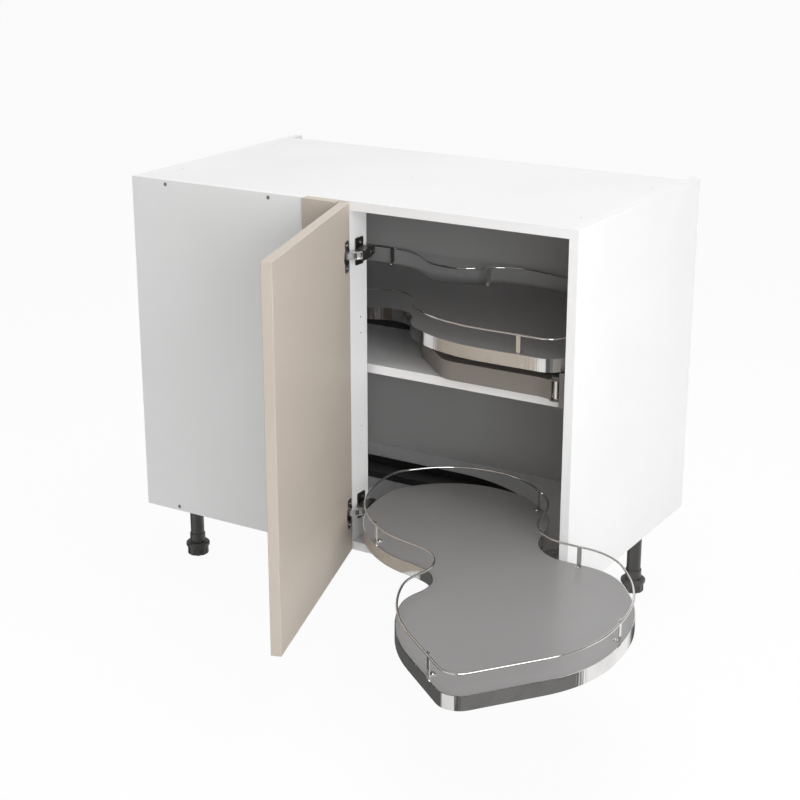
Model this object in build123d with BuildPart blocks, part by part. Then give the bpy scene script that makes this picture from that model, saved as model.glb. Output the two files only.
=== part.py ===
from build123d import *
from math import cos, radians, sin
import os

# Blind corner base cabinet with two swing-out trays, in millimetres.
# The origin is on the floor, under the centre leg. X runs to the right along the front,
# Y runs from the front into the corner, and Z is up.

# Carcass
width = 1000
depth = 570
height = 720
board = 18
back_board = 8
service_void = 40
back_groove = 8
groove_play = 0.1

# Front
blind_width = 422
post_width = 76
front_thick = 22
blind_thick = 18
hinge_board_depth = 60
hinge_board_gap = 2
system_hole_r = 2.5
system_hole_depth = 11
system_holes = (222, 254, 451, 483)

# Shelf
shelf_height = 356
shelf_setback = 78
stud_r = 2.5
stud_reach = 8
stud_play = 0.05
stud_inset = 50

# Fixings
worktop_hole_r = 2.5
blind_screw_r = 2
blind_screw_head_r = 4
blind_screw_length = 45
blind_screw_columns = (86, 341)

# Legs
leg_height = 150
leg_side = 42
leg_front = 95
leg_back = 420
leg_r = 15
leg_wall = 2.5
leg_flange_r = 29
leg_flange = 3
leg_plug = 30
leg_plug_play = 0.1
leg_spigot_r = 5
leg_spigot = 12
sleeve_r = 17
sleeve_height = 19
foot_height = 29
foot_collar_height = 11
foot_r = 23
foot_collar_r = 26
foot_stem_r = 10
foot_stem = 50
foot_notch = 5
foot_notches = 10
foot_edge = 1
foot_slope = 2
foot_crown = 3
foot_play = 0.3

# Door and hinges
door_width = 490
door_thick = 20
door_edge_r = 1
door_gap = 2
door_post_gap = 4
door_face_gap = 2
door_open = 72
hinge_line_x = 8.5
hinge_line_depth = 12
hinge_rise = 88
hinge_drop = 103
cup_r = 17.5
cup_depth = 12.5
cup_play = 0.1
cup_wall = 1.2
cup_rim = 1
cup_edge = 22.5
cup_flange = 1.5
cup_flange_width = 24
cup_flange_length = 61
cup_flange_corner = 4
cup_screw_spacing = 45
cup_screw_r = 1.9
cup_screw_head_r = 3.4
cup_screw_length = 12
plate_line = 37
plate_screw_spacing = 32
plate_front = 18
plate_rear = 46
plate_length = 54
plate_corner = 3
plate_thick = 2
saddle = 4
saddle_width = 12
hinge_screw_r = 2
hinge_screw_head_r = 3.5
hinge_screw_head = 1.6
hinge_screw_length = 12

# Hinge arm and links, seen from above. The arm and its pins are placed from the inner front
# edge of the hinge panel, the cup's pins and the links' bends from the door's hinge line.
hinge_arm_toe = (31, 3)
hinge_arm_heel = (22, 56)
hinge_arm_outline = ((6, 50), (6, 20), (20.5, 1), (30.5, 1), hinge_arm_toe, hinge_arm_heel, (12, 58))
hinge_arm_hollow = ((1, 0), (29.3, 0), (29.3, 3), (24, 33), (1, 33))
hinge_arm_width = 20
hinge_arm_wall = 1.5
hinge_tail_width = 14
hinge_tail_start = 43
adjuster_lines = (36, 50)
adjuster_r = 3
adjuster_head = 1.2
adjuster_sink = 0.4
adjuster_shank_r = 1.8
adjuster_length = 6
arm_pins = ((10.6, 25), (25.4, 5.1))
cup_pins = ((1.6, 3.9), (3.7, 9.6))
inner_link_bends = ((10.1, 12.4), (3.6, 20.4))
outer_link_bends = ((7.6, 14.2), (4.2, 22.6))
link_bend_radii = (3, 5)
link_thick = 4.4
link_cup_eye_r = 2.8
link_arm_eye_r = 3
inner_link_width = 10
outer_link_gap = 10.8
outer_link_width = 16
outer_link_web = 1.2
cheek_space_r = 60
outer_link_web_span = (0.2, 0.6)
outer_link_play = 0.45
link_pin_r = 1.5
cup_pin_r = 1.2
cup_pin_reach = 11
cup_stub_reach = 13.1

# Trays
tray_board = 16
tray_top = 88
band_thick = 1.5
band_height = 26
band_play = 0.2
rail_r = 2.1
rail_height = 37
rail_inset = 4
rail_post_width = 9
rail_post_thick = 2
rail_foot = 12
rail_foot_thick = 1.5
rail_screw_r = 1.6
rail_screw_head_r = 2.8
rail_screw_head = 1.6
rail_play = 0.1

# Swing fittings
arm_pivot_side = 47
arm_pivot_front = 68
arm_reach = 357.9
arm_stowed = 162.84
arm_width = 26
arm_height = 38
arm_wall = 3
arm_bend = 42
arm_root_bend = 60
arm_start = 6
arm_root = (33, 2)
arm_bow = (230, 62.6)
pin_r = 5
tube_r = 8.5
spindle_r = 8
spindle_collar_r = 17
boss_r = 13
running = 0.05
seat_play = 0.3
lug = 2
top_lug = 2.5
pivot_cap_r = 11
pivot_cap = 4.5
lug_r = 15
bracket_front = 10
bracket_back = 72
bracket_wall = 2.5
bracket_flange = 2
bracket_flange_width = 32
bracket_flange_top = 59
bracket_flange_play = 0.2
bracket_screw_r = 2
bracket_screw_head_r = 4
bracket_screw_head = 2
bracket_screw_length = 14
bracket_screw_rows = (30, 56)
bracket_screw_height = 22
tray_plate = 2.5
tray_plate_length = 150
tray_plate_width = 90
tray_plate_corner = 12
tray_plate_offset = (60, 20)
spindle_foot = 6
lower_arm_swing = 100
lower_tray_turn = -37.41

# Guide channels
channel_back = 150
channel_width = 84
channel_height = 15
channel_wall = 2
channel_start = 222
channel_straight = 313
channel_bend = 290
channel_turn = 50

# Places that follow from the sizes
left = -width / 2
right = width / 2
front = -(leg_front + leg_back) / 2
rear = front + depth
base = leg_height
crown = base + height
inner_left = left + board
inner_right = right - board
floor_top = base + board
ceiling = crown - board
top_rear = rear - service_void
back_face = top_rear - back_board
shelf_under = base + shelf_height
shelf_top = shelf_under + board
blind_right = left + blind_width
post_right = blind_right + post_width
hinge_board_left = post_right + hinge_board_gap
hinge_board_right = hinge_board_left + board
hinge_heights = {"lower": hinge_rise, "upper": height - hinge_drop}
leg_points = [
    (left + leg_side, front + leg_front),
    (left + leg_side, front + leg_back),
    (right - leg_side, front + leg_front),
    (right - leg_side, front + leg_back),
    (0, 0),
]


def save(piece, name):
    """Names a finished piece and writes it."""
    piece.part.label = name
    export_step(piece.part, f"parts/{name}.step")


def block(x, y, z, mode=Mode.ADD):
    """A square-edged block between three pairs of limits, in the piece being made."""
    with Locations(((x[0] + x[1]) / 2, (y[0] + y[1]) / 2, (z[0] + z[1]) / 2)):
        Box(x[1] - x[0], y[1] - y[0], z[1] - z[0], mode=mode)


def turned(angle):
    """The direction that X takes when it is turned by an angle about Z."""
    return (cos(radians(angle)), sin(radians(angle)), 0)


def hinge_seat(height_on_door):
    """The plane of the door's inner face, centred on a hinge cup."""
    place = door_plane.from_local_coords((cup_edge - hinge_line_x, hinge_line_depth, height_on_door))
    return Plane(place, x_dir=door_plane.x_dir, z_dir=door_plane.y_dir)


def seen_from_door(place):
    """Where a place beside the hinge panel lies in the door's own plane."""
    spot = door_plane.to_local_coords(Vector(hinge_board_right + place[0], front + place[1], base))
    return (spot.X, spot.Y)


def adjuster_seat(along, height_on_door):
    """The plane on a hinge arm's slanting face where an adjusting screw sits."""
    slant = (hinge_arm_heel[0] - hinge_arm_toe[0]) / (hinge_arm_heel[1] - hinge_arm_toe[1])
    out = hinge_arm_toe[0] + slant * (along - hinge_arm_toe[1])
    place = (hinge_board_right + out, front + along, base + height_on_door)
    return Plane(place, x_dir=(0, 0, 1), z_dir=(1, -slant, 0))


os.makedirs("parts", exist_ok=True)

# The sides run the full depth. A groove in each holds the back.
groove = (back_face - groove_play, top_rear + groove_play)
stud_rows = (front + shelf_setback + stud_inset, back_face - stud_inset)
with BuildPart() as left_side:
    block((left, inner_left), (front, rear), (base, crown))
    block((inner_left - back_groove, inner_left), groove, (floor_top, ceiling), Mode.SUBTRACT)
    with BuildSketch(Plane.YZ.offset(inner_left)):
        with Locations([(y, shelf_under) for y in stud_rows]):
            Circle(stud_r + stud_play)
    extrude(amount=-stud_reach, mode=Mode.SUBTRACT)
save(left_side, "left_side")

with BuildPart() as right_side:
    block((inner_right, right), (front, rear), (base, crown))
    block((inner_right, inner_right + back_groove), groove, (floor_top, ceiling), Mode.SUBTRACT)
    with BuildSketch(Plane.YZ.offset(inner_right)):
        with Locations([(y, shelf_under) for y in stud_rows]):
            Circle(stud_r + stud_play)
    extrude(amount=stud_reach, mode=Mode.SUBTRACT)
    with BuildSketch(Plane.YZ.offset(inner_right)):
        for stand in (floor_top, shelf_top):
            with Locations([
                (front + arm_pivot_front + y, stand + bracket_screw_height) for y in bracket_screw_rows
            ]):
                Circle(bracket_screw_r + running)
    extrude(amount=bracket_screw_length, mode=Mode.SUBTRACT)
save(right_side, "right_side")

# The floor and the top stop short of the wall, which leaves room for pipes. Both take the
# screws of the blind panel in their front edges.
screw_heights = (base + board / 2, crown - board / 2)
with BuildPart() as bottom_panel:
    block((inner_left, inner_right), (front, top_rear), (base, floor_top))
    with BuildSketch(Plane.XY.offset(base)):
        with Locations(leg_points):
            Circle(leg_spigot_r + running)
    extrude(amount=leg_spigot + running, mode=Mode.SUBTRACT)
    with BuildSketch(Plane.XZ.offset(-front)):
        with Locations([(left + x, screw_heights[0]) for x in blind_screw_columns]):
            Circle(blind_screw_r + running)
    extrude(amount=-blind_screw_length, mode=Mode.SUBTRACT)
save(bottom_panel, "bottom_panel")

with BuildPart() as top_panel:
    block((inner_left, inner_right), (front, top_rear), (ceiling, crown))
    with BuildSketch(Plane.XY.offset(crown)):
        with Locations(leg_points):
            Circle(worktop_hole_r)
    extrude(amount=-board, mode=Mode.SUBTRACT)
    with BuildSketch(Plane.XZ.offset(-front)):
        with Locations([(left + x, screw_heights[1]) for x in blind_screw_columns]):
            Circle(blind_screw_r + running)
    extrude(amount=-blind_screw_length, mode=Mode.SUBTRACT)
save(top_panel, "top_panel")

with BuildPart() as back_panel:
    block(
        (inner_left - back_groove + groove_play, inner_right + back_groove - groove_play),
        (back_face, top_rear),
        (floor_top, ceiling),
    )
save(back_panel, "back_panel")

# The blind panel closes the part of the front that the next run of cabinets hides.
with BuildPart() as blind_panel:
    block((left, blind_right), (front - blind_thick, front), (base, crown))
    with Locations(Plane.XZ.offset(blind_thick - front)):
        with Locations([(left + x, z) for x in blind_screw_columns for z in screw_heights]):
            CounterSinkHole(blind_screw_r + running, blind_screw_head_r + running, blind_thick)
save(blind_panel, "blind_panel")

with BuildPart() as blind_panel_screws:
    for x in blind_screw_columns:
        for z in screw_heights:
            with BuildSketch(Plane((left + x, front - blind_thick, z), z_dir=(0, -1, 0))):
                Circle(blind_screw_head_r)
            extrude(amount=-(blind_screw_head_r - blind_screw_r), taper=45)
            with BuildSketch(Plane((left + x, front - blind_thick, z), z_dir=(0, -1, 0))):
                Circle(blind_screw_r)
            extrude(amount=-blind_screw_length)
save(blind_panel_screws, "blind_panel_screws")

with BuildPart() as corner_post:
    block((blind_right, post_right), (front - front_thick, front), (base, crown))
    fillet(corner_post.edges().filter_by(Axis.Z).group_by(Axis.Y)[0], door_edge_r)
save(corner_post, "corner_post")

with BuildPart() as hinge_panel:
    block((hinge_board_left, hinge_board_right), (front, front + hinge_board_depth), (floor_top, ceiling))
    with BuildSketch(Plane.YZ.offset(hinge_board_right)):
        with Locations([(front + plate_line, base + z) for z in system_holes]):
            Circle(system_hole_r)
    extrude(amount=-system_hole_depth, mode=Mode.SUBTRACT)
    with BuildSketch(Plane.YZ.offset(hinge_board_right)):
        for z in hinge_heights.values():
            with Locations((front + plate_line, base + z)):
                with GridLocations(1, plate_screw_spacing, 1, 2):
                    Circle(hinge_screw_r + running)
    extrude(amount=-hinge_screw_length, mode=Mode.SUBTRACT)
save(hinge_panel, "hinge_panel")

# The fixed shelf rests on four studs, plugged into the sides.
with BuildPart() as fixed_shelf:
    block((inner_left, inner_right), (front + shelf_setback, back_face), (shelf_under, shelf_top))
    for x in (inner_left, inner_right):
        for y in stud_rows:
            with Locations((x, y, shelf_under)):
                Cylinder(stud_r + stud_play, 2 * board, rotation=(0, 90, 0), mode=Mode.SUBTRACT)
save(fixed_shelf, "fixed_shelf")

with BuildPart() as shelf_studs:
    for x, way in ((inner_left, 1), (inner_right, -1)):
        for y in stud_rows:
            tip = x - way * (stud_reach - stud_play)
            with BuildSketch(Plane((tip, y, shelf_under), z_dir=(way, 0, 0))):
                Circle(stud_r)
            extrude(amount=stud_reach + board - 2 * stud_play)
save(shelf_studs, "shelf_studs")

# Five plastic legs. Each has a socket in the floor panel, a tube, and a foot that screws in.
tube_top = base - leg_flange
with BuildPart() as leg_sockets:
    with BuildSketch(Plane.XY.offset(base)):
        with Locations(leg_points):
            Circle(leg_flange_r)
    extrude(amount=-leg_flange)
    with BuildSketch(Plane.XY.offset(base)):
        with Locations(leg_points):
            Circle(leg_spigot_r)
    extrude(amount=leg_spigot)
    with BuildSketch(Plane.XY.offset(tube_top)):
        with Locations(leg_points):
            Circle(leg_r - leg_wall - leg_plug_play)
    extrude(amount=-leg_plug)
save(leg_sockets, "leg_sockets")

with BuildPart() as leg_tubes:
    with BuildSketch(Plane.XY.offset(foot_height + foot_play)):
        with Locations(leg_points):
            Circle(leg_r)
    extrude(amount=tube_top - foot_height - foot_play)
    with BuildSketch(Plane.XY.offset(foot_height + foot_play)):
        with Locations(leg_points):
            Circle(sleeve_r)
    extrude(amount=sleeve_height)
    with BuildSketch(Plane.XY.offset(foot_height + foot_play + sleeve_height)):
        with Locations(leg_points):
            Circle(leg_r - leg_wall)
    extrude(amount=height, mode=Mode.SUBTRACT)
    with BuildSketch(Plane.XY.offset(foot_height + foot_play)):
        with Locations(leg_points):
            Circle(foot_stem_r + running)
    extrude(amount=sleeve_height, mode=Mode.SUBTRACT)
save(leg_tubes, "leg_tubes")

foot_names = ("front_left", "rear_left", "front_right", "rear_right", "centre")
for name, point in zip(foot_names, leg_points):
    with BuildPart(Plane((*point, 0))) as foot:
        with BuildSketch(Plane((*point, 0), x_dir=(1, 0, 0), z_dir=(0, -1, 0))) as foot_profile:
            with BuildLine():
                Polyline(
                    (0, 0),
                    (foot_r - foot_edge, 0),
                    (foot_r, foot_edge),
                    (foot_r, foot_height - foot_collar_height),
                    (foot_collar_r, foot_height - foot_collar_height + foot_slope),
                    (foot_collar_r, foot_height - foot_crown),
                    (foot_collar_r - foot_crown, foot_height),
                    (foot_stem_r, foot_height),
                    (foot_stem_r, foot_height + foot_stem),
                    (0, foot_height + foot_stem),
                    close=True,
                )
            make_face()
        revolve(axis=Axis((*point, 0), (0, 0, 1)))
        with BuildSketch(Plane((*point, 0))):
            with PolarLocations(foot_r, foot_notches):
                Circle(foot_notch / 2)
        extrude(amount=foot_height - foot_collar_height - foot_crown, mode=Mode.SUBTRACT)
    save(foot, f"{name}_foot")

# The door turns about the line through its two concealed hinges. It stands open.
door_left = post_right + door_post_gap
hinge_x = door_left + hinge_line_x
hinge_y = front - door_face_gap - hinge_line_depth
door_plane = Plane((hinge_x, hinge_y, base), x_dir=turned(-door_open), z_dir=(0, 0, 1))
with BuildPart(door_plane) as door:
    block(
        (-hinge_line_x, door_width - hinge_line_x),
        (hinge_line_depth - door_thick, hinge_line_depth),
        (door_gap, height - door_gap),
    )
    fillet(door.edges(), door_edge_r)
    for z in hinge_heights.values():
        seat = hinge_seat(z)
        with BuildSketch(seat):
            Circle(cup_r)
        extrude(amount=-cup_depth - cup_play, mode=Mode.SUBTRACT)
        with BuildSketch(seat):
            with GridLocations(1, cup_screw_spacing, 1, 2):
                Circle(cup_screw_r + running)
        extrude(amount=-cup_screw_length, mode=Mode.SUBTRACT)
save(door, "door")

for level, z in hinge_heights.items():
    seat = hinge_seat(z)
    with BuildPart(seat) as cup:
        with BuildSketch(seat):
            RectangleRounded(cup_flange_width, cup_flange_length, cup_flange_corner)
            Circle(cup_r + cup_rim)
        extrude(amount=cup_flange)
        with BuildSketch(seat):
            Circle(cup_r - cup_play)
        extrude(amount=-cup_depth)
        with BuildSketch(seat.offset(cup_flange)):
            Circle(cup_r - cup_play - cup_wall)
        extrude(amount=cup_wall - cup_depth - cup_flange, mode=Mode.SUBTRACT)
        with BuildSketch(seat):
            with GridLocations(1, cup_screw_spacing, 1, 2):
                Circle(cup_screw_r + running)
        extrude(amount=cup_flange, mode=Mode.SUBTRACT)
        with BuildSketch(door_plane.offset(z)):
            with Locations(cup_pins[0]):
                Circle(cup_pin_r)
        extrude(amount=cup_pin_reach, both=True)
        for side in (-1, 1):
            with BuildSketch(door_plane.offset(z + side * outer_link_gap / 2)):
                with Locations(cup_pins[1]):
                    Circle(cup_pin_r)
            extrude(amount=side * (cup_stub_reach - outer_link_gap / 2))
    save(cup, f"{level}_hinge_cup")

# Two links join each cup to its arm. The inner one turns on the cup's long pin and carries
# a pin of its own in the arm.
for level, z in hinge_heights.items():
    pin_in_arm = seen_from_door(arm_pins[0])
    with BuildPart() as inner_link:
        with BuildSketch(door_plane.offset(z)):
            with BuildLine():
                FilletPolyline(cup_pins[0], *inner_link_bends, pin_in_arm, radius=link_bend_radii)
            trace(line_width=link_thick)
            with Locations(cup_pins[0]):
                Circle(link_cup_eye_r)
            with Locations(pin_in_arm):
                Circle(link_arm_eye_r)
            with Locations(cup_pins[0]):
                Circle(cup_pin_r + running, mode=Mode.SUBTRACT)
        extrude(amount=inner_link_width / 2, both=True)
        with BuildSketch(door_plane.offset(z)):
            with Locations(pin_in_arm):
                Circle(link_pin_r)
        extrude(amount=hinge_arm_width / 2, both=True)
    save(inner_link, f"{level}_hinge_inner_link")

# The outer link has a cheek on each side of the inner one, with a web and a pin between them.
for level, z in hinge_heights.items():
    pin_in_arm = seen_from_door(arm_pins[1])
    with BuildPart() as outer_link:
        with BuildSketch(door_plane.offset(z)):
            with BuildLine():
                FilletPolyline(cup_pins[1], *outer_link_bends, pin_in_arm, radius=link_bend_radii)
            trace(line_width=link_thick)
            with Locations(cup_pins[1]):
                Circle(link_cup_eye_r)
            with Locations(pin_in_arm):
                Circle(link_arm_eye_r)
            with Locations(cup_pins[1]):
                Circle(cup_pin_r + outer_link_play, mode=Mode.SUBTRACT)
        extrude(amount=outer_link_width / 2, both=True)
        with BuildSketch(door_plane.offset(z)):
            Circle(cheek_space_r)
        extrude(amount=outer_link_gap / 2, both=True, mode=Mode.SUBTRACT)
        with BuildSketch(door_plane.offset(z)):
            with BuildLine():
                shank = Line(pin_in_arm, outer_link_bends[1], mode=Mode.PRIVATE)
                Line(shank @ outer_link_web_span[0], shank @ outer_link_web_span[1])
            trace(line_width=outer_link_web)
        extrude(amount=outer_link_width / 2, both=True)
        with BuildSketch(door_plane.offset(z)):
            with Locations(pin_in_arm):
                Circle(link_pin_r)
        extrude(amount=hinge_arm_width / 2, both=True)
    save(outer_link, f"{level}_hinge_links")

# The plate and the arm are screwed to the upright behind the post. The arm is a folded
# channel, open towards the door, where the links swing in it.
for level, z in hinge_heights.items():
    middle = base + z
    with BuildPart() as plate:
        with BuildSketch(Plane.YZ.offset(hinge_board_right)):
            with Locations((front + (plate_front + plate_rear) / 2, middle)):
                RectangleRounded(plate_rear - plate_front, plate_length, plate_corner)
            with Locations((front + plate_line, middle)):
                with GridLocations(1, plate_screw_spacing, 1, 2):
                    Circle(hinge_screw_r + running, mode=Mode.SUBTRACT)
        extrude(amount=plate_thick)
        block(
            (hinge_board_right + plate_thick, hinge_board_right + plate_thick + saddle),
            (front + plate_front, front + plate_rear),
            (middle - saddle_width / 2, middle + saddle_width / 2),
        )
    save(plate, f"{level}_hinge_plate")

    with BuildPart() as hinge_arm:
        board_edge = Plane((hinge_board_right, front, middle))
        with BuildSketch(board_edge):
            with BuildLine():
                Polyline(*hinge_arm_outline, close=True)
            make_face()
        extrude(amount=hinge_arm_width / 2, both=True)
        with BuildSketch(board_edge):
            with BuildLine():
                Polyline(*hinge_arm_hollow, close=True)
            make_face()
        extrude(amount=hinge_arm_width / 2 - hinge_arm_wall, both=True, mode=Mode.SUBTRACT)
        with BuildSketch(board_edge):
            with Locations(*arm_pins):
                Circle(link_pin_r + running)
        extrude(amount=hinge_arm_width / 2, both=True, mode=Mode.SUBTRACT)
        for side in (-1, 1):
            block(
                (hinge_board_right, hinge_board_right + hinge_arm_toe[0]),
                (front + hinge_tail_start, front + hinge_arm_outline[-1][1]),
                sorted((middle + side * hinge_tail_width / 2, middle + side * hinge_arm_width / 2)),
                Mode.SUBTRACT,
            )
        for along in adjuster_lines:
            with BuildSketch(adjuster_seat(along, z)):
                Circle(adjuster_r + running)
            extrude(amount=-adjuster_head - adjuster_sink, mode=Mode.SUBTRACT)
            with BuildSketch(adjuster_seat(along, z)):
                Circle(adjuster_shank_r + running)
            extrude(amount=-adjuster_length, mode=Mode.SUBTRACT)
    save(hinge_arm, f"{level}_hinge_arm")

with BuildPart() as hinge_arm_screws:
    for z in hinge_heights.values():
        for along in adjuster_lines:
            with BuildSketch(adjuster_seat(along, z).offset(-adjuster_sink)):
                Circle(adjuster_r)
            extrude(amount=-adjuster_head)
            with BuildSketch(adjuster_seat(along, z).offset(-adjuster_sink)):
                Circle(adjuster_shank_r)
            extrude(amount=adjuster_sink - adjuster_length)
save(hinge_arm_screws, "hinge_arm_screws")

with BuildPart() as hinge_plate_screws:
    for z in hinge_heights.values():
        for side in (-1, 1):
            seat = Plane(
                (hinge_board_right, front + plate_line, base + z + side * plate_screw_spacing / 2),
                z_dir=(1, 0, 0),
            )
            with BuildSketch(seat.offset(plate_thick)):
                Circle(hinge_screw_head_r)
            extrude(amount=hinge_screw_head)
            with BuildSketch(seat.offset(plate_thick)):
                Circle(hinge_screw_r)
            extrude(amount=-hinge_screw_length)
save(hinge_plate_screws, "hinge_plate_screws")

with BuildPart() as hinge_cup_screws:
    for z in hinge_heights.values():
        seat = hinge_seat(z)
        with BuildSketch(seat.offset(cup_flange)):
            with GridLocations(1, cup_screw_spacing, 1, 2):
                Circle(cup_screw_head_r)
        extrude(amount=hinge_screw_head)
        with BuildSketch(seat.offset(cup_flange)):
            with GridLocations(1, cup_screw_spacing, 1, 2):
                Circle(cup_screw_r)
        extrude(amount=-cup_screw_length)
save(hinge_cup_screws, "hinge_cup_screws")

# Both trays have one outline, a kidney that fills the cabinet and passes the door opening. Each
# corner has its place and its radius, for a tray that is put away. The rear ones are given in
# thousandths of the room between the sides and between the front and the back. The front ones,
# which pass the opening, are given across in thousandths and from the front in millimetres.
rear_corners = [
    (971, 559, 479),
    (826, 883, 594),
    (632, 967, 239),
    (489, 761, 172),
    (354, 983, 297),
    (84, 989, 364),
]
front_corners = [
    (71, 277, 85),
    (202, 133, 270),
    (393, 145, 215),
    (543, 214, 74),
    (590, 105, 98),
    (702, 31, 320),
    (971, 31, 40),
]
rear_posts = [(890, 734), (574, 885), (297, 977)]
front_posts = [(327, 138), (880, 32)]
room_x = (inner_right - inner_left) / 1000
room_y = (back_face - front) / 1000
arm_x = inner_right - arm_pivot_side
arm_y = front + arm_pivot_front
stowed_plane = Plane((arm_x, arm_y, 0), x_dir=turned(arm_stowed), z_dir=(0, 0, 1))
stowed = stowed_plane.from_local_coords((arm_reach, 0, 0))


def from_spindle(rear_places, front_places):
    """Places on a tray, measured from its spindle as it stands when the tray is put away."""
    places_in_room = [(x, front + y * room_y) for x, y in rear_places]
    places_in_room += [(x, front + y) for x, y in front_places]
    return [(inner_left + x * room_x - stowed.X, y - stowed.Y) for x, y in places_in_room]


corner_radii = [radius * room_y for x, y, radius in rear_corners]
corner_radii += [radius for x, y, radius in front_corners]
outline_points = from_spindle(
    [(x, y) for x, y, radius in rear_corners],
    [(x, y) for x, y, radius in front_corners],
)
post_points = from_spindle(rear_posts, front_posts)

# The upper tray is put away. The lower one is swung out through the door opening.
stands = {"lower": floor_top, "upper": shelf_top}
arm_planes = {}
tray_planes = {}
for level, swing, turn in (("lower", lower_arm_swing, lower_tray_turn), ("upper", 0, 0)):
    pivot = (arm_x, arm_y, stands[level])
    arm_planes[level] = Plane(pivot, x_dir=turned(arm_stowed + swing), z_dir=(0, 0, 1))
    arm_end = arm_planes[level].from_local_coords((arm_reach, 0, 0))
    tray_planes[level] = Plane(arm_end, x_dir=turned(turn), z_dir=(0, 0, 1))

arm_low = lug + seat_play
arm_top = arm_low + arm_height
lug_low = arm_top + seat_play
lug_top = lug_low + top_lug
board_low = tray_top - tray_board
post_middle = rail_r + rail_play + rail_foot / 2
rail_screw_line = post_middle + rail_post_thick

# Each bracket is folded from steel plate and screwed to the right side. Its front flange
# reaches down in front of what it stands on, as far as there is an edge to cover.
flange_rear = front + shelf_setback - bracket_flange_play
flange_feet = {"lower": floor_top, "upper": shelf_under}
for level, stand in stands.items():
    with BuildPart() as bracket:
        for low, thick in ((0, lug), (lug_low, top_lug)):
            with BuildSketch(Plane.XY.offset(stand + low)):
                with Locations((arm_x, arm_y)):
                    Circle(lug_r)
                with Locations(((arm_x + inner_right) / 2, arm_y + (bracket_back - bracket_front) / 2)):
                    Rectangle(inner_right - arm_x, bracket_back + bracket_front)
            extrude(amount=thick)
        block(
            (inner_right - bracket_wall, inner_right),
            (arm_y - bracket_front, arm_y + bracket_back),
            (stand, stand + lug_top),
        )
        block(
            (inner_right - bracket_flange_width, inner_right),
            (flange_rear - bracket_flange, flange_rear),
            (flange_feet[level], stand + bracket_flange_top),
        )
        with BuildSketch(Plane.XY.offset(stand)):
            with Locations((arm_x, arm_y)):
                Circle(pin_r + running)
        extrude(amount=lug_top, mode=Mode.SUBTRACT)
        with BuildSketch(Plane.YZ.offset(inner_right)):
            with Locations([(arm_y + y, stand + bracket_screw_height) for y in bracket_screw_rows]):
                Circle(bracket_screw_r + running)
        extrude(amount=-bracket_wall, mode=Mode.SUBTRACT)
    save(bracket, f"{level}_pivot_bracket")

with BuildPart() as bracket_screws:
    for stand in stands.values():
        for y in bracket_screw_rows:
            place = (inner_right - bracket_wall, arm_y + y, stand + bracket_screw_height)
            with BuildSketch(Plane(place, z_dir=(-1, 0, 0))):
                Circle(bracket_screw_head_r)
            extrude(amount=bracket_screw_head)
            with BuildSketch(Plane(place, z_dir=(-1, 0, 0))):
                Circle(bracket_screw_r)
            extrude(amount=-bracket_screw_length)
save(bracket_screws, "bracket_screws")

# A pin through the bracket and the arm's tube, and a cap over its upper end.
for level, stand in stands.items():
    with BuildPart() as pivot_pin:
        with BuildSketch(Plane.XY.offset(stand)):
            with Locations((arm_x, arm_y)):
                Circle(pin_r)
        extrude(amount=lug_top)
    save(pivot_pin, f"{level}_pivot_pin")

    with BuildPart() as cap:
        with BuildSketch(Plane.XY.offset(stand + lug_top)):
            with Locations((arm_x, arm_y)):
                Circle(pivot_cap_r)
        extrude(amount=pivot_cap)
        fillet(cap.edges().group_by(Axis.Z)[-1], pivot_cap / 3)
    save(cap, f"{level}_pivot_cap")

# The arm is a pressed channel, open below, with a tube at one end and a boss at the other.
arm_line = ((arm_start, 0), arm_root, arm_bow, (arm_reach, 0))
for level, arm_plane in arm_planes.items():
    with BuildPart() as arm:
        with BuildSketch(arm_plane.offset(arm_low)):
            with BuildLine():
                FilletPolyline(*arm_line, radius=[arm_root_bend, arm_bend])
            trace(line_width=arm_width)
            with Locations((arm_reach, 0)):
                Circle(boss_r)
        extrude(amount=arm_height)
        with BuildSketch(arm_plane.offset(arm_low)):
            with BuildLine():
                FilletPolyline(*arm_line, radius=[arm_root_bend, arm_bend])
            trace(line_width=arm_width - 2 * arm_wall)
        extrude(amount=arm_height - arm_wall, mode=Mode.SUBTRACT)
        with BuildSketch(arm_plane.offset(arm_low)):
            with Locations((arm_reach, 0)):
                Circle(boss_r)
        extrude(amount=arm_height)
        with BuildSketch(arm_plane.offset(arm_low)):
            with Locations((arm_reach, 0)):
                Circle(spindle_r + running)
            Circle(tube_r + running)
        extrude(amount=arm_height, mode=Mode.SUBTRACT)
    save(arm, f"{level}_arm")

    with BuildPart() as tube:
        with BuildSketch(arm_plane.offset(arm_low)):
            Circle(tube_r)
            Circle(pin_r + running, mode=Mode.SUBTRACT)
        extrude(amount=arm_height)
    save(tube, f"{level}_arm_tube")

# The spindle turns in the arm's boss and carries the tray on a plate.
for level, tray_plane in tray_planes.items():
    with BuildPart() as spindle:
        with BuildSketch(tray_plane.offset(spindle_foot)):
            Circle(spindle_r)
        extrude(amount=lug_low - spindle_foot)
        with BuildSketch(tray_plane.offset(lug_low)):
            Circle(spindle_collar_r)
        extrude(amount=board_low - tray_plate - lug_low)
    save(spindle, f"{level}_tray_spindle")

    with BuildPart() as mount_plate:
        with BuildSketch(tray_plane.offset(board_low - tray_plate)):
            with Locations(tray_plate_offset):
                RectangleRounded(tray_plate_length, tray_plate_width, tray_plate_corner)
        extrude(amount=tray_plate)
    save(mount_plate, f"{level}_tray_plate")

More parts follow.
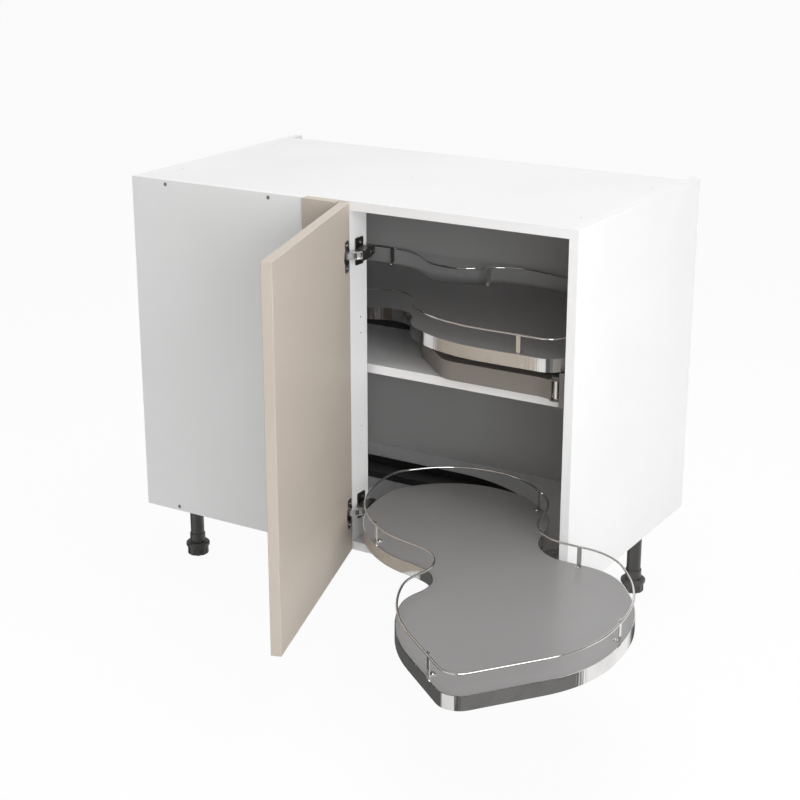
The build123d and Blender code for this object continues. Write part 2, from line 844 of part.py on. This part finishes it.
# The tray board lies in a band of bent strip, and a wire rail runs above its edge.
rail_paths = {}
for level, tray_plane in tray_planes.items():
    with BuildPart() as band:
        with BuildSketch(tray_plane.offset(tray_top - band_height)):
            with BuildLine():
                FilletPolyline(*outline_points, radius=corner_radii, close=True)
            make_face()
            offset(amount=-band_thick, mode=Mode.SUBTRACT)
        extrude(amount=band_height)
    save(band, f"{level}_tray_band")

    with BuildSketch(tray_plane.offset(tray_top + rail_height)) as rail_line:
        with BuildLine():
            FilletPolyline(*outline_points, radius=corner_radii, close=True)
        make_face()
        offset(amount=-rail_inset, mode=Mode.REPLACE)
    rail_path = rail_line.sketch.faces()[0].outer_wire()
    with BuildPart() as rail:
        with BuildSketch(Plane(rail_path @ 0, z_dir=rail_path % 0)):
            Circle(rail_r)
        sweep(path=rail_path)
    save(rail, f"{level}_rail")
    rail_paths[level] = rail_path

# Five flat posts stand on the tray board, inside the rail, each on a foot with a screw.
post_seats = {}
for level, tray_plane in tray_planes.items():
    post_seats[level] = []
    for point in post_points:
        wanted = tray_plane.from_local_coords((*point, tray_top + rail_height))
        on_rail = rail_paths[level].closest_points(wanted)[0]
        along = rail_paths[level] % rail_paths[level].param_at_point(on_rail)
        place = (on_rail.X, on_rail.Y, stands[level] + tray_top)
        post_seats[level].append(Plane(place, x_dir=along, z_dir=(0, 0, 1)))

for level, seats in post_seats.items():
    with BuildPart() as posts:
        for seat in seats:
            with BuildSketch(seat):
                with Locations((0, rail_r + rail_play + rail_post_thick / 2)):
                    Rectangle(rail_post_width, rail_post_thick)
            extrude(amount=rail_height + rail_r)
            with BuildSketch(seat):
                with Locations((0, post_middle)):
                    Rectangle(rail_post_width, rail_foot)
            extrude(amount=rail_foot_thick)
            with BuildSketch(seat):
                with Locations((0, rail_screw_line)):
                    Circle(rail_screw_r + running)
            extrude(amount=rail_foot_thick, mode=Mode.SUBTRACT)
    save(posts, f"{level}_rail_posts")

    with BuildPart() as rail_screws:
        for seat in seats:
            with BuildSketch(seat.offset(rail_foot_thick)):
                with Locations((0, rail_screw_line)):
                    Circle(rail_screw_head_r)
            extrude(amount=rail_screw_head)
            with BuildSketch(seat.offset(rail_foot_thick)):
                with Locations((0, rail_screw_line)):
                    Circle(rail_screw_r)
            extrude(amount=-tray_board / 2 - rail_foot_thick)
    save(rail_screws, f"{level}_rail_screws")

    with BuildPart() as tray:
        with BuildSketch(tray_planes[level].offset(board_low)):
            with BuildLine():
                FilletPolyline(*outline_points, radius=corner_radii, close=True)
            make_face()
            offset(amount=-band_thick - band_play, mode=Mode.REPLACE)
        extrude(amount=tray_board)
        for seat in seats:
            with BuildSketch(seat):
                with Locations((0, rail_screw_line)):
                    Circle(rail_screw_r + running)
            extrude(amount=-tray_board / 2, mode=Mode.SUBTRACT)
    save(tray, f"{level}_tray_board")

# A channel behind each tray, on what the tray's arm stands on.
channel_begin = (left + channel_start, back_face - channel_back)
channel_knee = (channel_begin[0] + channel_straight, channel_begin[1])
for level, stand in stands.items():
    with BuildPart() as channel:
        with BuildSketch(Plane.XY.offset(stand)):
            with BuildLine():
                Line(channel_begin, channel_knee)
                JernArc(channel_knee, (1, 0), channel_bend, -channel_turn)
            trace(line_width=channel_width + 2 * channel_wall)
        extrude(amount=channel_height)
        with BuildSketch(Plane.XY.offset(stand + channel_wall)):
            with BuildLine():
                Line(channel_begin, channel_knee)
                JernArc(channel_knee, (1, 0), channel_bend, -channel_turn)
            trace(line_width=channel_width)
        extrude(amount=channel_height, mode=Mode.SUBTRACT)
    save(channel, f"{level}_guide_channel")
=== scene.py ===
import math

import bpy
import numpy as np
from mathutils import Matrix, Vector


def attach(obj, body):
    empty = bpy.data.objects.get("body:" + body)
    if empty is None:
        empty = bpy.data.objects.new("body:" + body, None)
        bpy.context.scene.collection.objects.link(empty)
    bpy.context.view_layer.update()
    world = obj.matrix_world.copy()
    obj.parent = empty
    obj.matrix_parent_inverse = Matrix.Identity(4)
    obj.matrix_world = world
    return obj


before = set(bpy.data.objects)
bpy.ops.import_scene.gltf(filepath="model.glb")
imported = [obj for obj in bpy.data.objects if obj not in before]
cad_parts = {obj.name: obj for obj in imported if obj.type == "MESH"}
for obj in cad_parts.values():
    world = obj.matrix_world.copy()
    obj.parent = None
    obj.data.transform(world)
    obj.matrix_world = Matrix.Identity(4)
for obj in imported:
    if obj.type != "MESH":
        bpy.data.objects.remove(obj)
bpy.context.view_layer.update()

# The carcass: panels of 18 mm white melamine-faced board with glued edging strips. The two sides
# carry the top, the floor and the thin back in its grooves, and the blind panel closes the front
# left part. The back is coloured a mid grey that is partly painted shade: it is darker than the
# white boards to stand for the shade that falls inside the unit. The fixed shelf and the upright
# behind the post are of the same white board.
board_white = (0.865, 0.866, 0.870, 1.0)
board_white_shade = (0.825, 0.824, 0.820, 1.0)
# The back's mid grey is partly painted shade, darkening the inside of the unit where shade falls.
back_grey_painted_shade = (0.500, 0.500, 0.500, 1.0)
back_grey_painted_shade_drift = (0.460, 0.459, 0.457, 1.0)
board_peel_scale = 900.0
board_peel_depth = 0.00002
white_dullness = 0.42
back_dullness = 0.50
wiped_dullness = 0.12
tone_scale = 2.4
tone_span = (0.3, 0.7)
wipe_stretch = (3.0, 3.0, 14.0)
wipe_span = (0.42, 0.75)
broad_face_span = (0.2, 0.4)


def effect_group(name, inputs, outputs):
    """A shader node group with float inputs and with outputs given as (name, socket type) pairs."""
    group = bpy.data.node_groups.new(name, "ShaderNodeTree")
    for label, default in inputs:
        socket = group.interface.new_socket(label, in_out="INPUT", socket_type="NodeSocketFloat")
        socket.default_value = default
    for label, kind in outputs:
        group.interface.new_socket(label, in_out="OUTPUT", socket_type=kind)
    entry = group.nodes.new("NodeGroupInput")
    result = group.nodes.new("NodeGroupOutput")
    return group, entry, result


def fed(tree, socket, value):
    """Gives an input socket a number or a colour, or links another socket to it."""
    if isinstance(value, (int, float, tuple)):
        socket.default_value = value
    else:
        tree.links.new(value, socket)


def noise(tree, coordinates, scale, detail):
    """A noise texture on the given coordinates. Its scale is a number or a socket."""
    texture = tree.nodes.new("ShaderNodeTexNoise")
    texture.inputs["Detail"].default_value = detail
    fed(tree, texture.inputs["Vector"], coordinates)
    fed(tree, texture.inputs["Scale"], scale)
    return texture.outputs["Fac"]


def stretched(tree, coordinates, scale):
    """The given coordinates, stretched by a scale along each axis."""
    mapping = tree.nodes.new("ShaderNodeMapping")
    mapping.inputs["Scale"].default_value = scale
    fed(tree, mapping.inputs["Vector"], coordinates)
    return mapping.outputs["Vector"]


def spread(tree, value, span, to_low, to_high):
    """Maps the low and high end of a value's span to to_low and to_high, held at the ends."""
    ramp = tree.nodes.new("ShaderNodeMapRange")
    ramp.inputs["From Min"].default_value = span[0]
    ramp.inputs["From Max"].default_value = span[1]
    ramp.inputs["To Min"].default_value = to_low
    ramp.inputs["To Max"].default_value = to_high
    fed(tree, ramp.inputs["Value"], value)
    return ramp.outputs["Result"]


def calculated(tree, operation, *values):
    """A number worked out from one or two values, by the operation named as on the Math node."""
    step = tree.nodes.new("ShaderNodeMath")
    step.operation = operation
    for socket, value in zip(step.inputs, values):
        fed(tree, socket, value)
    return step.outputs["Value"]


def across(tree, first, second):
    """The dot product of two directions."""
    product = tree.nodes.new("ShaderNodeVectorMath")
    product.operation = "DOT_PRODUCT"
    fed(tree, product.inputs[0], first)
    fed(tree, product.inputs[1], second)
    return product.outputs["Value"]


def board_skin():
    """The skin of faced board: a fine orange peel, a slow drift of tone, and level wipe marks."""
    group, entry, result = effect_group(
        "board_skin",
        (("Peel Scale", board_peel_scale),),
        (("Peel", "NodeSocketFloat"), ("Tone", "NodeSocketFloat"), ("Wipes", "NodeSocketFloat")),
    )
    place = group.nodes.new("ShaderNodeTexCoord").outputs["Object"]
    peel = noise(group, place, scale=entry.outputs["Peel Scale"], detail=2.0)
    tone = noise(group, place, scale=tone_scale, detail=3.0)
    wipes = noise(group, stretched(group, place, wipe_stretch), scale=1.0, detail=4.0)
    group.links.new(peel, result.inputs["Peel"])
    group.links.new(spread(group, tone, tone_span, 0.0, 1.0), result.inputs["Tone"])
    group.links.new(spread(group, wipes, wipe_span, 0.0, 1.0), result.inputs["Wipes"])
    return group


def edging():
    """A mask that is 1 on a board's narrow faces. Its broad faces look along the axis given."""
    group, entry, result = effect_group(
        "edging",
        (("Along X", 0.0), ("Along Y", 0.0), ("Along Z", 1.0)),
        (("Mask", "NodeSocketFloat"),),
    )
    normal = group.nodes.new("ShaderNodeTexCoord").outputs["Normal"]
    axis = group.nodes.new("ShaderNodeCombineXYZ")
    for label in "XYZ":
        group.links.new(entry.outputs["Along " + label], axis.inputs[label])
    facing = calculated(group, "ABSOLUTE", across(group, normal, axis.outputs["Vector"]))
    group.links.new(spread(group, facing, broad_face_span, 1.0, 0.0), result.inputs["Mask"])
    return group


def new_shader(name):
    """A material with its Principled shader, and the tree that both stand in."""
    material = bpy.data.materials.new(name)
    material.use_nodes = True
    return material, material.node_tree, material.node_tree.nodes["Principled BSDF"]


def placed(tree, group, **values):
    """A node group placed in a material, with values for its inputs, where _ stands for a space."""
    node = tree.nodes.new("ShaderNodeGroup")
    node.node_tree = group
    for label, value in values.items():
        node.inputs[label.replace("_", " ")].default_value = value
    return node


def mixed(tree, share, first, second):
    """A colour that goes from first to second with share."""
    mix = tree.nodes.new("ShaderNodeMix")
    mix.data_type = "RGBA"
    fed(tree, mix.inputs["Factor"], share)
    fed(tree, mix.inputs["A"], first)
    fed(tree, mix.inputs["B"], second)
    return mix.outputs["Result"]


def bumped(tree, shader, height, depth):
    """A height from 0 to 1, as a bump of the given depth in metres on the shader's normal."""
    bump = tree.nodes.new("ShaderNodeBump")
    bump.inputs["Distance"].default_value = depth
    tree.links.new(height, bump.inputs["Height"])
    tree.links.new(bump.outputs["Normal"], shader.inputs["Normal"])


skin = board_skin()
narrow_faces = edging()


def faced_board(name, colour, shade, edge, axis, dullness, peel_depth):
    """Board whose tone drifts from colour to shade, dulled where wiped, with its narrow faces in
    the edge colour, which is the edging strips' colour on most boards and a painted highlight on
    the beige foil.
    """
    material, tree, shader = new_shader(name)
    marks = placed(tree, skin, Peel_Scale=board_peel_scale)
    narrow_face_share = placed(tree, narrow_faces, Along_X=axis[0], Along_Y=axis[1], Along_Z=axis[2])
    face = mixed(tree, marks.outputs["Tone"], colour, shade)
    # On the beige foil the narrow faces' colour is a painted highlight.
    tree.links.new(mixed(tree, narrow_face_share.outputs["Mask"], face, edge), shader.inputs["Base Color"])
    wiped = spread(tree, marks.outputs["Wipes"], (0.0, 1.0), dullness, dullness + wiped_dullness)
    tree.links.new(wiped, shader.inputs["Roughness"])
    bumped(tree, shader, marks.outputs["Peel"], peel_depth)
    return material


def dress(material, *nodes):
    """Gives CAD nodes their material."""
    for node in nodes:
        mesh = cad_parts[node].data
        mesh.materials.clear()
        mesh.materials.append(material)


facing_x = (1.0, 0.0, 0.0)
facing_y = (0.0, 1.0, 0.0)
facing_z = (0.0, 0.0, 1.0)
for name, axis, boards in (
    ("white_board_x", facing_x, ("left_side", "right_side", "hinge_panel")),
    ("white_board_y", facing_y, ("blind_panel",)),
    ("white_board_z", facing_z, ("bottom_panel", "top_panel", "fixed_shelf")),
):
    white_board = faced_board(
        name, board_white, board_white_shade, board_white, axis, white_dullness, board_peel_depth
    )
    dress(white_board, *boards)
# The back panel's grey, on its faces and its darker narrow faces, stands partly for the shade
# inside the unit: painted shade.
grey_back_painted_shade = faced_board(
    "grey_back_painted_shade",
    back_grey_painted_shade,
    back_grey_painted_shade_drift,
    back_grey_painted_shade_drift,
    facing_y,
    back_dullness,
    board_peel_depth,
)
dress(grey_back_painted_shade, "back_panel")

# The door and the corner post: board wrapped in smooth matt beige foil on all faces. Their narrow
# faces are painted a little lighter, a painted highlight where light catches the edges. The door
# hangs open on its two hinges, and the post stands beside it where the blind panel ends.
beige = (0.560, 0.492, 0.426, 1.0)
beige_shade = (0.530, 0.464, 0.401, 1.0)
# Lighter beige for the narrow faces: a painted highlight on the edges.
beige_edge_painted_highlight = (0.590, 0.525, 0.458, 1.0)
foil_dullness = 0.46
foil_peel_depth = 0.00001
foil = faced_board(
    "beige_front", beige, beige_shade, beige_edge_painted_highlight, facing_y, foil_dullness, foil_peel_depth
)
dress(foil, "door", "corner_post")

# Screws and studs, turned from steel and driven into the boards. The screws in the blind panel and
# in the brackets are left dull grey. The shelf studs and the screws in the hinges and the rails are
# zinc plated.
steel_grey = (0.22, 0.22, 0.22, 1.0)
steel_grey_smudged = (0.16, 0.16, 0.16, 1.0)
zinc = (0.62, 0.62, 0.60, 1.0)
zinc_smudged = (0.48, 0.48, 0.47, 1.0)
screw_line_depth = 0.000004
line_scale = 200.0
line_stretch = (1.0, 1.0, 0.04)
smudge_scale = 22.0
smudge_span = (0.48, 0.72)


def handled():
    """Marks on metal: upright polishing lines as a height, and the smudges that fingers leave."""
    group, entry, result = effect_group(
        "handled",
        (("Line Scale", line_scale),),
        (("Lines", "NodeSocketFloat"), ("Smudges", "NodeSocketFloat")),
    )
    place = group.nodes.new("ShaderNodeTexCoord").outputs["Object"]
    upright = stretched(group, place, line_stretch)
    lines = noise(group, upright, scale=entry.outputs["Line Scale"], detail=2.0)
    smudges = noise(group, place, scale=smudge_scale, detail=5.0)
    group.links.new(lines, result.inputs["Lines"])
    group.links.new(spread(group, smudges, smudge_span, 0.0, 1.0), result.inputs["Smudges"])
    return group


metal_marks = handled()


def metal(name, colour, smudged, dullness, smudge, line_depth, metallic=1.0):
    """Metal whose smudges are duller by smudge and a little darker than the clean surface."""
    material, tree, shader = new_shader(name)
    marks = placed(tree, metal_marks, Line_Scale=line_scale)
    shader.inputs["Metallic"].default_value = metallic
    tone = mixed(tree, marks.outputs["Smudges"], colour, smudged)
    tree.links.new(tone, shader.inputs["Base Color"])
    touched = spread(tree, marks.outputs["Smudges"], (0.0, 1.0), dullness, dullness + smudge)
    tree.links.new(touched, shader.inputs["Roughness"])
    bumped(tree, shader, marks.outputs["Lines"], line_depth)
    return material


dull_steel = metal(
    "steel_screw",
    steel_grey,
    steel_grey_smudged,
    dullness=0.38,
    smudge=0.14,
    line_depth=screw_line_depth,
)
dress(dull_steel, "blind_panel_screws", "bracket_screws")
plated_steel = metal(
    "zinc_stud", zinc, zinc_smudged, dullness=0.22, smudge=0.14, line_depth=screw_line_depth
)
dress(plated_steel, "shelf_studs", "hinge_plate_screws", "hinge_cup_screws", "hinge_arm_screws")
dress(plated_steel, "lower_rail_screws", "upper_rail_screws")

# The concealed hinges: a cup pressed from steel in the door, two links, a folded arm, and a plate
# screwed to the upright. The cup, the arm and the plate are dark nickel, the links bright nickel.
nickel = (0.82, 0.81, 0.79, 1.0)
nickel_smudged = (0.60, 0.58, 0.55, 1.0)
dark_nickel = (0.190, 0.182, 0.170, 1.0)
dark_nickel_smudged = (0.12, 0.115, 0.105, 1.0)
bright = metal(
    "hinge_nickel",
    nickel,
    nickel_smudged,
    dullness=0.18,
    smudge=0.16,
    line_depth=0.000003,
    metallic=0.75,
)
dark = metal(
    "hinge_plate_nickel",
    dark_nickel,
    dark_nickel_smudged,
    dullness=0.32,
    smudge=0.16,
    line_depth=0.000005,
)
for level in ("lower", "upper"):
    dress(bright, level + "_hinge_links", level + "_hinge_inner_link")
    dress(dark, level + "_hinge_plate", level + "_hinge_cup", level + "_hinge_arm")

# The legs: a socket, a tube and a screw foot at each corner and in the middle, moulded in black
# plastic with a fine mould grain. The sockets are fixed under the floor, and each foot screws into
# its tube to level the unit.
plastic_black = (0.066, 0.064, 0.062, 1.0)
plastic_rubbed = (0.100, 0.097, 0.093, 1.0)
plastic_dullness = 0.34
plastic_grain_depth = 0.00003
mould_grain_scale = 1400.0
rubbed_gloss = 0.1


def moulded(name, colour, rubbed, dullness, grain_depth):
    """Moulded or sprayed surface: a fine grain, and places rubbed to another tone and smoother."""
    material, tree, shader = new_shader(name)
    marks = placed(tree, skin, Peel_Scale=mould_grain_scale)
    tone = mixed(tree, marks.outputs["Wipes"], colour, rubbed)
    tree.links.new(tone, shader.inputs["Base Color"])
    worn = spread(tree, marks.outputs["Wipes"], (0.0, 1.0), dullness, dullness - rubbed_gloss)
    tree.links.new(worn, shader.inputs["Roughness"])
    bumped(tree, shader, marks.outputs["Peel"], grain_depth)
    return material


leg_plastic = moulded(
    "dark_plastic", plastic_black, plastic_rubbed, plastic_dullness, plastic_grain_depth
)
dress(leg_plastic, "leg_sockets", "leg_tubes")
for leg in ("front_left", "rear_left", "front_right", "rear_right", "centre"):
    dress(leg_plastic, leg + "_foot")

# The swing fittings: a steel bracket on the right side carries a chromed tube on a pin, and the
# welded arm of folded sheet, sprayed taupe, that turns with it. A moulded cap closes the pin. The
# upper bracket also has a leaf, folded to the left in front of the shelf's edge.
taupe = (0.235, 0.212, 0.194, 1.0)
taupe_rubbed = (0.200, 0.180, 0.165, 1.0)
cap_grey = (0.210, 0.205, 0.198, 1.0)
chrome_bright = (0.80, 0.79, 0.775, 1.0)
chrome_smudged = (0.70, 0.69, 0.675, 1.0)
chrome_dullness = 0.045
chrome_smudge = 0.10
wire_line_depth = 0.00002
leaf_low = (0.4456, -0.2050, 0.5130)
leaf_high = (0.4818, -0.2035, 0.5830)
leaf_edge = 0.0003
sprayed = moulded("grey_steel", taupe, taupe_rubbed, dullness=0.42, grain_depth=0.00002)
cap_plastic = moulded("grey_plastic", cap_grey, taupe, dullness=0.46, grain_depth=0.00003)
chrome = metal(
    "chrome", chrome_bright, chrome_smudged, chrome_dullness, chrome_smudge, wire_line_depth
)


def sheet_leaf(name, low, high, edge):
    """A flat leaf with broken edges: each corner is low plus 0 or 1 times the size on each axis."""
    corners = np.indices((2, 2, 2)).reshape(3, -1).T
    points = np.array(low) + corners * (np.array(high) - np.array(low))
    along_x = [(0, 1, 3, 2), (4, 6, 7, 5)]
    along_y = [(0, 4, 5, 1), (2, 3, 7, 6)]
    along_z = [(0, 2, 6, 4), (1, 5, 7, 3)]
    mesh = bpy.data.meshes.new(name)
    mesh.from_pydata(points.tolist(), [], along_x + along_y + along_z)
    leaf = bpy.data.objects.new(name, mesh)
    bpy.context.collection.objects.link(leaf)
    broken = leaf.modifiers.new("broken_edges", "BEVEL")
    broken.width = edge
    broken.segments = 2
    return leaf


leaf = sheet_leaf("upper_bracket_leaf", leaf_low, leaf_high, leaf_edge)
leaf.data.materials.append(sprayed)
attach(leaf, "carcass")
for level in ("lower", "upper"):
    dress(sprayed, level + "_arm", level + "_pivot_bracket")
    dress(cap_plastic, level + "_pivot_cap")
    dress(chrome, level + "_arm_tube", level + "_pivot_pin")

# The trays: kidney-shaped boards faced in slate grey, each in a band of rolled chromed strip, with
# a wire rail on five posts screwed to the board. The plate and spindle beneath are black steel.
slate = (0.300, 0.294, 0.294, 1.0)
slate_shade = (0.275, 0.269, 0.269, 1.0)
slate_dullness = 0.30
slate_peel_depth = 0.000008
strip_line_depth = 0.0003
steel_black = (0.022, 0.022, 0.022, 1.0)
steel_black_rubbed = (0.035, 0.034, 0.033, 1.0)
slate_board = faced_board(
    "grey_board", slate, slate_shade, slate_shade, facing_z, slate_dullness, slate_peel_depth
)
rolled_strip = metal(
    "rolled_chrome", chrome_bright, chrome_smudged, chrome_dullness, chrome_smudge, strip_line_depth
)
black_steel = moulded(
    "dark_steel", steel_black, steel_black_rubbed, dullness=0.40, grain_depth=0.00001
)
for level in ("lower", "upper"):
    dress(slate_board, level + "_tray_board")
    dress(rolled_strip, level + "_tray_band")
    dress(chrome, level + "_rail", level + "_rail_posts")
    dress(black_steel, level + "_tray_plate", level + "_tray_spindle")

# The guide channels, which lie on the floor and on the shelf behind the trays and keep each tray on
# its way out. They are pressed from steel and lacquered black like the tray plates.
dress(black_steel, "lower_guide_channel", "upper_guide_channel")

# The studio: a plain pale floor, a white surround, and soft boxes overhead, at the right and in
# front. What shines mirrors a dim room instead, with a bright ceiling, a long high window all round
# and three broad windows from the horizon down, as chrome shows it in a photo studio.
floor_size = 60.0
floor_white = (0.90, 0.90, 0.90, 1.0)
floor_dullness = 0.9
floor_glow = 0.94
surround_white = (1.0, 1.0, 1.0, 1.0)
surround_light = 0.33
room_dark = 0.11
ceiling_level = 0.50
ceiling_span = (0.55, 0.95)
high_window_level = 1.0
high_window_sill = (0.14, 0.18)
high_window_head = (0.375, 0.400)
rear_window = (56.0, 32.0, 1.0)
right_window = (-18.0, 42.0, 0.20)
front_window = (-115.0, 34.0, 0.85)
broad_window_head = (0.00, 0.08)
window_blur = 0.15
lamp_aim = (0.1, 0.0, 0.4)


def is_ray(tree, *kinds):
    """1 for rays of any of the kinds named as on the light path node, and 0 for the others."""
    path = tree.nodes.new("ShaderNodeLightPath")
    found = path.outputs[kinds[0]]
    for kind in kinds[1:]:
        found = calculated(tree, "MAXIMUM", found, path.outputs[kind])
    return found


def blended(tree, share, first, second):
    """A shader that goes from first to second with share."""
    blend = tree.nodes.new("ShaderNodeMixShader")
    tree.links.new(share, blend.inputs["Fac"])
    tree.links.new(first, blend.inputs[1])
    tree.links.new(second, blend.inputs[2])
    return blend.outputs["Shader"]


bpy.ops.mesh.primitive_plane_add(size=floor_size)
floor = bpy.context.object
floor.name = "studio_floor"
floor_paint, tree, shader = new_shader("floor_paint")
shader.inputs["Base Color"].default_value = floor_white
shader.inputs["Roughness"].default_value = floor_dullness
glow = tree.nodes.new("ShaderNodeEmission")
glow.inputs["Strength"].default_value = 1.0
seen_directly = is_ray(tree, "Is Camera Ray", "Is Transmission Ray")
glow_share = calculated(tree, "MULTIPLY", seen_directly, floor_glow)
painted = blended(tree, glow_share, shader.outputs["BSDF"], glow.outputs["Emission"])
clear = tree.nodes.new("ShaderNodeBsdfTransparent")
surface = blended(tree, is_ray(tree, "Is Glossy Ray"), painted, clear.outputs["BSDF"])
tree.links.new(surface, tree.nodes["Material Output"].inputs["Surface"])
floor.data.materials.append(floor_paint)


def window(tree, bearing, towards, half_width, level):
    """A broad window: level within half_width degrees of the bearing towards, with soft sides."""
    outer = math.cos(math.radians(half_width * (1 + window_blur)))
    inner = math.cos(math.radians(half_width * (1 - window_blur)))
    middle = (math.cos(math.radians(towards)), math.sin(math.radians(towards)), 0.0)
    return spread(tree, across(tree, bearing, middle), (outer, inner), 0.0, level)


def level_bearing(tree, direction):
    """A direction laid level and brought to length 1."""
    laid = tree.nodes.new("ShaderNodeVectorMath")
    laid.operation = "MULTIPLY"
    laid.inputs[1].default_value = (1.0, 1.0, 0.0)
    tree.links.new(direction, laid.inputs[0])
    unit = tree.nodes.new("ShaderNodeVectorMath")
    unit.operation = "NORMALIZE"
    tree.links.new(laid.outputs["Vector"], unit.inputs[0])
    return unit.outputs["Vector"]


world = bpy.data.worlds.new("white_surround")
bpy.context.scene.world = world
world.use_nodes = True
tree = world.node_tree
surround = tree.nodes["Background"]
surround.inputs["Color"].default_value = surround_white
direction = tree.nodes.new("ShaderNodeTexCoord").outputs["Generated"]
parts = tree.nodes.new("ShaderNodeSeparateXYZ")
tree.links.new(direction, parts.inputs["Vector"])
rise = parts.outputs["Z"]
bearing = level_bearing(tree, direction)
room = spread(tree, rise, ceiling_span, room_dark, ceiling_level)
above_sill = spread(tree, rise, high_window_sill, 0.0, high_window_level)
below_head = spread(tree, rise, high_window_head, 1.0, 0.0)
high_window = calculated(tree, "MULTIPLY", above_sill, below_head)
room = calculated(tree, "MAXIMUM", room, high_window)
below_broad_head = spread(tree, rise, broad_window_head, 1.0, 0.0)
for towards, half_width, level in (rear_window, right_window, front_window):
    pane = window(tree, bearing, towards, half_width, level)
    broad_window = calculated(tree, "MULTIPLY", pane, below_broad_head)
    room = calculated(tree, "MAXIMUM", room, broad_window)
seen_directly = is_ray(tree, "Is Camera Ray", "Is Transmission Ray")
plain = spread(tree, seen_directly, (0.0, 1.0), surround_light, 1.0)
strength = tree.nodes.new("ShaderNodeMix")
strength.data_type = "FLOAT"
tree.links.new(is_ray(tree, "Is Glossy Ray"), strength.inputs["Factor"])
tree.links.new(plain, strength.inputs["A"])
tree.links.new(room, strength.inputs["B"])
tree.links.new(strength.outputs["Result"], surround.inputs["Strength"])


def soft_box(name, place, width, height, watts, mirrored=True):
    """A large soft lamp that looks at the unit. What shines shows it only if it is mirrored."""
    lamp = bpy.data.lights.new(name, "AREA")
    lamp.shape = "RECTANGLE"
    lamp.size = width
    lamp.size_y = height
    lamp.energy = watts
    holder = bpy.data.objects.new(name, lamp)
    bpy.context.collection.objects.link(holder)
    holder.location = place
    holder.visible_glossy = mirrored
    holder.rotation_euler = (Vector(lamp_aim) - Vector(place)).to_track_quat("-Z", "Y").to_euler()


soft_box("right_box", place=(3.4, -1.7, 1.7), width=2.4, height=2.4, watts=61.0)
soft_box("top_box", place=(0.1, 0.0, 3.4), width=3.0, height=2.4, watts=63.0, mirrored=False)
soft_box("front_box", place=(2.7, -3.6, 1.4), width=1.6, height=1.2, watts=52.0)

# The camera stands to the right of the front, a little above the top, and looks down at the unit
# from the photograph's viewing angle. Its place and turn were fitted to the unit's edges.
camera_place = (1.7388, -2.9008, 1.5252)
camera_turn = math.radians(31.309)
camera_dip = math.radians(18.492)
focal_length = 75.61
film_width = 36.0
camera = bpy.data.cameras.new("camera")
camera.lens = focal_length
camera.sensor_width = film_width
stand = bpy.data.objects.new("camera", camera)
bpy.context.collection.objects.link(stand)
stand.location = camera_place
stand.rotation_euler = (math.pi / 2 - camera_dip, 0.0, camera_turn)
bpy.context.scene.camera = stand
bpy.context.scene.view_settings.view_transform = "Standard"
